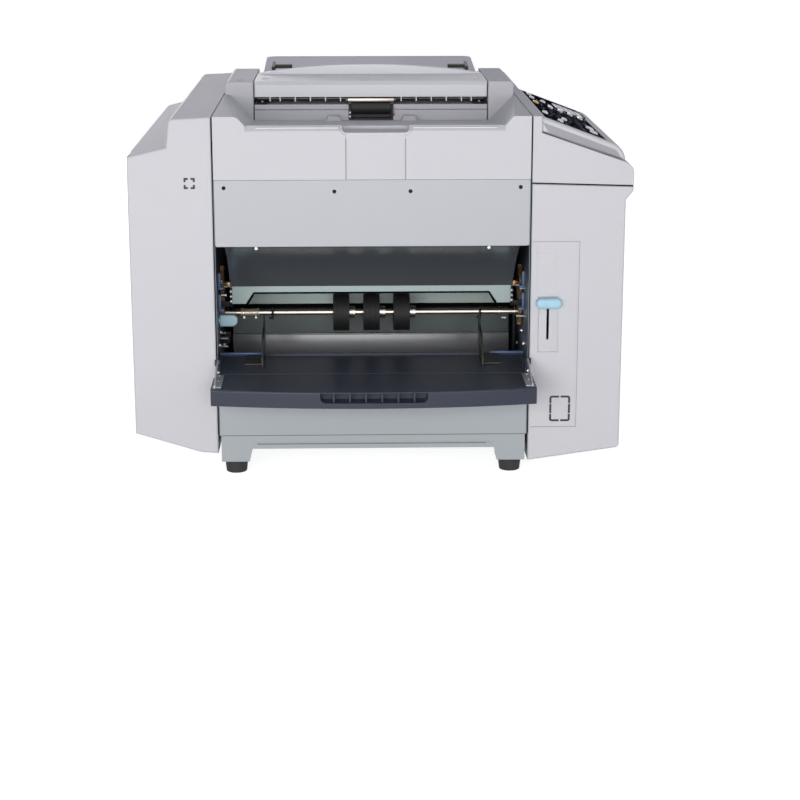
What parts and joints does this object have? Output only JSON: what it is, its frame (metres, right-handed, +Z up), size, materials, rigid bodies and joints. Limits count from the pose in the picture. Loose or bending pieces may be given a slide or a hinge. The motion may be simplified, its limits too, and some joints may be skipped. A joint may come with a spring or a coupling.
{
  "type": "digital duplicator",
  "caption": "Desktop digital duplicator with folding feed tray, feed rollers, sloped control panel, original feeder with hinged lid and rear tray, print drum behind a side door.",
  "frame": {"origin": "on the standing surface, below the middle of the machine's box with feed tray open and receiving tray folded", "axes": "+Z up, -Y towards the paper feed side, +X towards the control panel and the side door"},
  "size_m": [0.6654, 0.755, 0.516],
  "materials": {
    "cover_plastic": "fine textured light grey moulding",
    "front_steel": "satin bluish grey coated sheet steel",
    "base_steel": "satin greenish grey coated sheet steel",
    "frame_steel": "grey plated sheet steel",
    "guide_steel": "dark coated sheet steel",
    "bracket_steel": "grey green coated sheet steel",
    "foot_rubber": "matt black",
    "roller_rubber": "ground black rubber",
    "bright_steel": "bright turned steel",
    "gear_brass": "dull bronze gears",
    "tray_plastic": "dark glossy moulding",
    "black_plastic": "black moulding",
    "blue_plastic": "pale blue moulding",
    "membrane": "dark printed film",
    "display": "blue grey display window",
    "white_key": "white key",
    "yellow_key": "yellow key",
    "white_plastic": "white moulding",
    "tray_grey": "grey moulding"
  },
  "bodies": {
    "machine": {"base_frame": "base_steel", "rubber_feet": "foot_rubber", "side_frame_left": "frame_steel", "side_frame_right": "frame_steel", "left_cover": "cover_plastic", "right_cover": "cover_plastic", "upper_right_cover": "cover_plastic", "rear_cover": "cover_plastic", "rear_top_cover": "cover_plastic", "upper_front_cover": "cover_plastic", "grip_panel": "cover_plastic", "front_plate": "front_steel", "plate_screws": "black_plastic", "edge_studs": "bright_steel", "lower_panel": "base_steel", "guide_plate": "guide_steel", "cross_bracket": "bracket_steel", "feed_chute": "guide_steel", "control_panel": "cover_plastic", "panel_membrane": "membrane", "display_window": "display", "feeder_bed": "cover_plastic", "roller_frame": "black_plastic", "power_inlet": "black_plastic"},
    "feed_roller_unit": {"feed_shaft": "bright_steel", "feed_rollers": "roller_rubber", "feed_gears": "gear_brass"},
    "drive_gear_unit": {"drive_gears": "gear_brass"},
    "feed_lever_unit": {"feed_lever": "blue_plastic"},
    "tray_lift": {"tray_plate": "tray_plastic"},
    "feed_tray_unit": {"feed_tray": "tray_plastic", "tray_arms": "bright_steel"},
    "paper_guide_left_unit": {"paper_guide_left": "black_plastic"},
    "paper_guide_right_unit": {"paper_guide_right": "black_plastic"},
    "pressure_knob_unit": {"pressure_knob": "blue_plastic"},
    "original_roller_unit": {"original_roller": "roller_rubber"},
    "feeder_lid_unit": {"feeder_lid": "cover_plastic", "feed_ribs": "white_plastic", "feeder_shaft": "bright_steel"},
    "original_tray_unit": {"original_tray": "tray_grey"},
    "original_guide_left_unit": {"original_guide_left": "black_plastic"},
    "original_guide_right_unit": {"original_guide_right": "black_plastic"},
    "print_drum_unit": {"print_drum": "frame_steel"},
    "press_roller_unit": {"press_roller": "roller_rubber"},
    "side_door_unit": {"side_door": "cover_plastic"},
    "receiving_tray_unit": {"receiving_tray": "tray_grey"},
    "power_switch_unit": {"power_switch": "black_plastic"},
    "start_key_unit": {"start_key": "white_key"},
    "stop_key_unit": {"stop_key": "white_key"},
    "test_key_unit": {"test_key": "white_key"},
    "clear_key_unit": {"clear_key": "white_key"},
    "recall_key_unit": {"recall_key": "white_key"},
    "process_key_unit": {"process_key": "yellow_key"},
    "mode_key_unit": {"mode_key": "white_key"},
    "image_key_unit": {"image_key": "white_key"},
    "speed_key_unit": {"speed_key": "white_key"},
    "menu_key_1_unit": {"menu_key_1": "white_key"},
    "menu_key_2_unit": {"menu_key_2": "white_key"},
    "menu_key_3_unit": {"menu_key_3": "white_key"},
    "menu_key_4_unit": {"menu_key_4": "white_key"}
  },
  "joints": [
    {"name": "feed_roller_spin", "type": "hinge", "parent": "machine", "child": "feed_roller_unit", "pos_m": [-0.01175, -0.1105, 0.19], "axis": [1, 0, 0], "continuous": true},
    {"name": "drive_gear_spin", "type": "hinge", "parent": "machine", "child": "drive_gear_unit", "pos_m": [-0.01175, -0.1105, 0.23225], "axis": [1, 0, 0], "continuous": true},
    {"name": "feed_lever_turn", "type": "hinge", "parent": "machine", "child": "feed_lever_unit", "pos_m": [-0.22575, -0.1435, 0.186], "axis": [1, 0, 0], "range_deg": [0, 40]},
    {"name": "tray_lift_slide", "type": "slide", "parent": "machine", "child": "tray_lift", "axis": [0, 0, 1], "range_m": [-0.028, 0.015]},
    {"name": "feed_tray_fold", "type": "hinge", "parent": "tray_lift", "child": "feed_tray_unit", "pos_m": [-0.01175, -0.2805, 0.158], "axis": [-1, 0, 0], "range_deg": [0, 90]},
    {"name": "paper_guide_left_slide", "type": "slide", "parent": "tray_lift", "child": "paper_guide_left_unit", "axis": [1, 0, 0], "range_m": [0, 0.055]},
    {"name": "paper_guide_right_slide", "type": "slide", "parent": "tray_lift", "child": "paper_guide_right_unit", "axis": [1, 0, 0], "range_m": [-0.055, 0]},
    {"name": "pressure_knob_slide", "type": "slide", "parent": "machine", "child": "pressure_knob_unit", "axis": [0, 0, -1], "range_m": [0, 0.048]},
    {"name": "original_roller_spin", "type": "hinge", "parent": "machine", "child": "original_roller_unit", "pos_m": [-0.00975, 0.016, 0.465], "axis": [1, 0, 0], "continuous": true},
    {"name": "feeder_lid_open", "type": "hinge", "parent": "machine", "child": "feeder_lid_unit", "pos_m": [-0.01175, 0.1445, 0.498], "axis": [-1, 0, 0], "range_deg": [0, 55]},
    {"name": "original_tray_tilt", "type": "hinge", "parent": "machine", "child": "original_tray_unit", "pos_m": [-0.01175, 0.167, 0.492], "axis": [1, 0, 0], "range_deg": [0, 45]},
    {"name": "original_guide_left_slide", "type": "slide", "parent": "original_tray_unit", "child": "original_guide_left_unit", "axis": [1, 0, 0], "range_m": [0, 0.1]},
    {"name": "original_guide_right_slide", "type": "slide", "parent": "original_tray_unit", "child": "original_guide_right_unit", "axis": [1, 0, 0], "range_m": [-0.1, 0]},
    {"name": "print_drum_spin", "type": "hinge", "parent": "machine", "child": "print_drum_unit", "pos_m": [-0.01175, 0.1245, 0.275], "axis": [1, 0, 0], "continuous": true},
    {"name": "press_roller_spin", "type": "hinge", "parent": "machine", "child": "press_roller_unit", "pos_m": [-0.01175, 0.1245, 0.1547], "axis": [1, 0, 0], "continuous": true},
    {"name": "side_door_open", "type": "hinge", "parent": "machine", "child": "side_door_unit", "pos_m": [0.32125, 0.309, 0.22], "axis": [0, 0, 1], "range_deg": [0, 100]},
    {"name": "receiving_tray_fold", "type": "hinge", "parent": "machine", "child": "receiving_tray_unit", "pos_m": [-0.01175, 0.3695, 0.067], "axis": [-1, 0, 0], "range_deg": [0, 90]},
    {"name": "power_switch_rock", "type": "hinge", "parent": "machine", "child": "power_switch_unit", "pos_m": [0.12625, 0.3535, 0.361], "axis": [-1, 0, 0], "range_deg": [0, 20]},
    {"name": "start_key_press", "type": "slide", "parent": "machine", "child": "start_key_unit", "axis": [-0.3502, 0, -0.9367], "range_m": [0, 0.0012], "stiffness_N_per_m": 400},
    {"name": "stop_key_press", "type": "slide", "parent": "machine", "child": "stop_key_unit", "axis": [-0.3502, 0, -0.9367], "range_m": [0, 0.0012], "stiffness_N_per_m": 400},
    {"name": "test_key_press", "type": "slide", "parent": "machine", "child": "test_key_unit", "axis": [-0.3502, 0, -0.9367], "range_m": [0, 0.0012], "stiffness_N_per_m": 400},
    {"name": "clear_key_press", "type": "slide", "parent": "machine", "child": "clear_key_unit", "axis": [-0.3502, 0, -0.9367], "range_m": [0, 0.0012], "stiffness_N_per_m": 400},
    {"name": "recall_key_press", "type": "slide", "parent": "machine", "child": "recall_key_unit", "axis": [-0.3502, 0, -0.9367], "range_m": [0, 0.0012], "stiffness_N_per_m": 400},
    {"name": "process_key_press", "type": "slide", "parent": "machine", "child": "process_key_unit", "axis": [-0.3502, 0, -0.9367], "range_m": [0, 0.0012], "stiffness_N_per_m": 400},
    {"name": "mode_key_press", "type": "slide", "parent": "machine", "child": "mode_key_unit", "axis": [-0.3502, 0, -0.9367], "range_m": [0, 0.0012], "stiffness_N_per_m": 400},
    {"name": "image_key_press", "type": "slide", "parent": "machine", "child": "image_key_unit", "axis": [-0.3502, 0, -0.9367], "range_m": [0, 0.0012], "stiffness_N_per_m": 400},
    {"name": "speed_key_press", "type": "slide", "parent": "machine", "child": "speed_key_unit", "axis": [-0.3502, 0, -0.9367], "range_m": [0, 0.0012], "stiffness_N_per_m": 400},
    {"name": "menu_key_1_press", "type": "slide", "parent": "machine", "child": "menu_key_1_unit", "axis": [-0.3502, 0, -0.9367], "range_m": [0, 0.0012], "stiffness_N_per_m": 400},
    {"name": "menu_key_2_press", "type": "slide", "parent": "machine", "child": "menu_key_2_unit", "axis": [-0.3502, 0, -0.9367], "range_m": [0, 0.0012], "stiffness_N_per_m": 400},
    {"name": "menu_key_3_press", "type": "slide", "parent": "machine", "child": "menu_key_3_unit", "axis": [-0.3502, 0, -0.9367], "range_m": [0, 0.0012], "stiffness_N_per_m": 400},
    {"name": "menu_key_4_press", "type": "slide", "parent": "machine", "child": "menu_key_4_unit", "axis": [-0.3502, 0, -0.9367], "range_m": [0, 0.0012], "stiffness_N_per_m": 400}
  ],
  "couplings": [
    {"joint": "drive_gear_spin", "follows": "feed_roller_spin", "ratio": -0.75},
    {"joint": "paper_guide_right_slide", "follows": "paper_guide_left_slide", "ratio": -1},
    {"joint": "original_guide_right_slide", "follows": "original_guide_left_slide", "ratio": -1},
    {"joint": "press_roller_spin", "follows": "print_drum_spin", "ratio": -3}
  ]
}
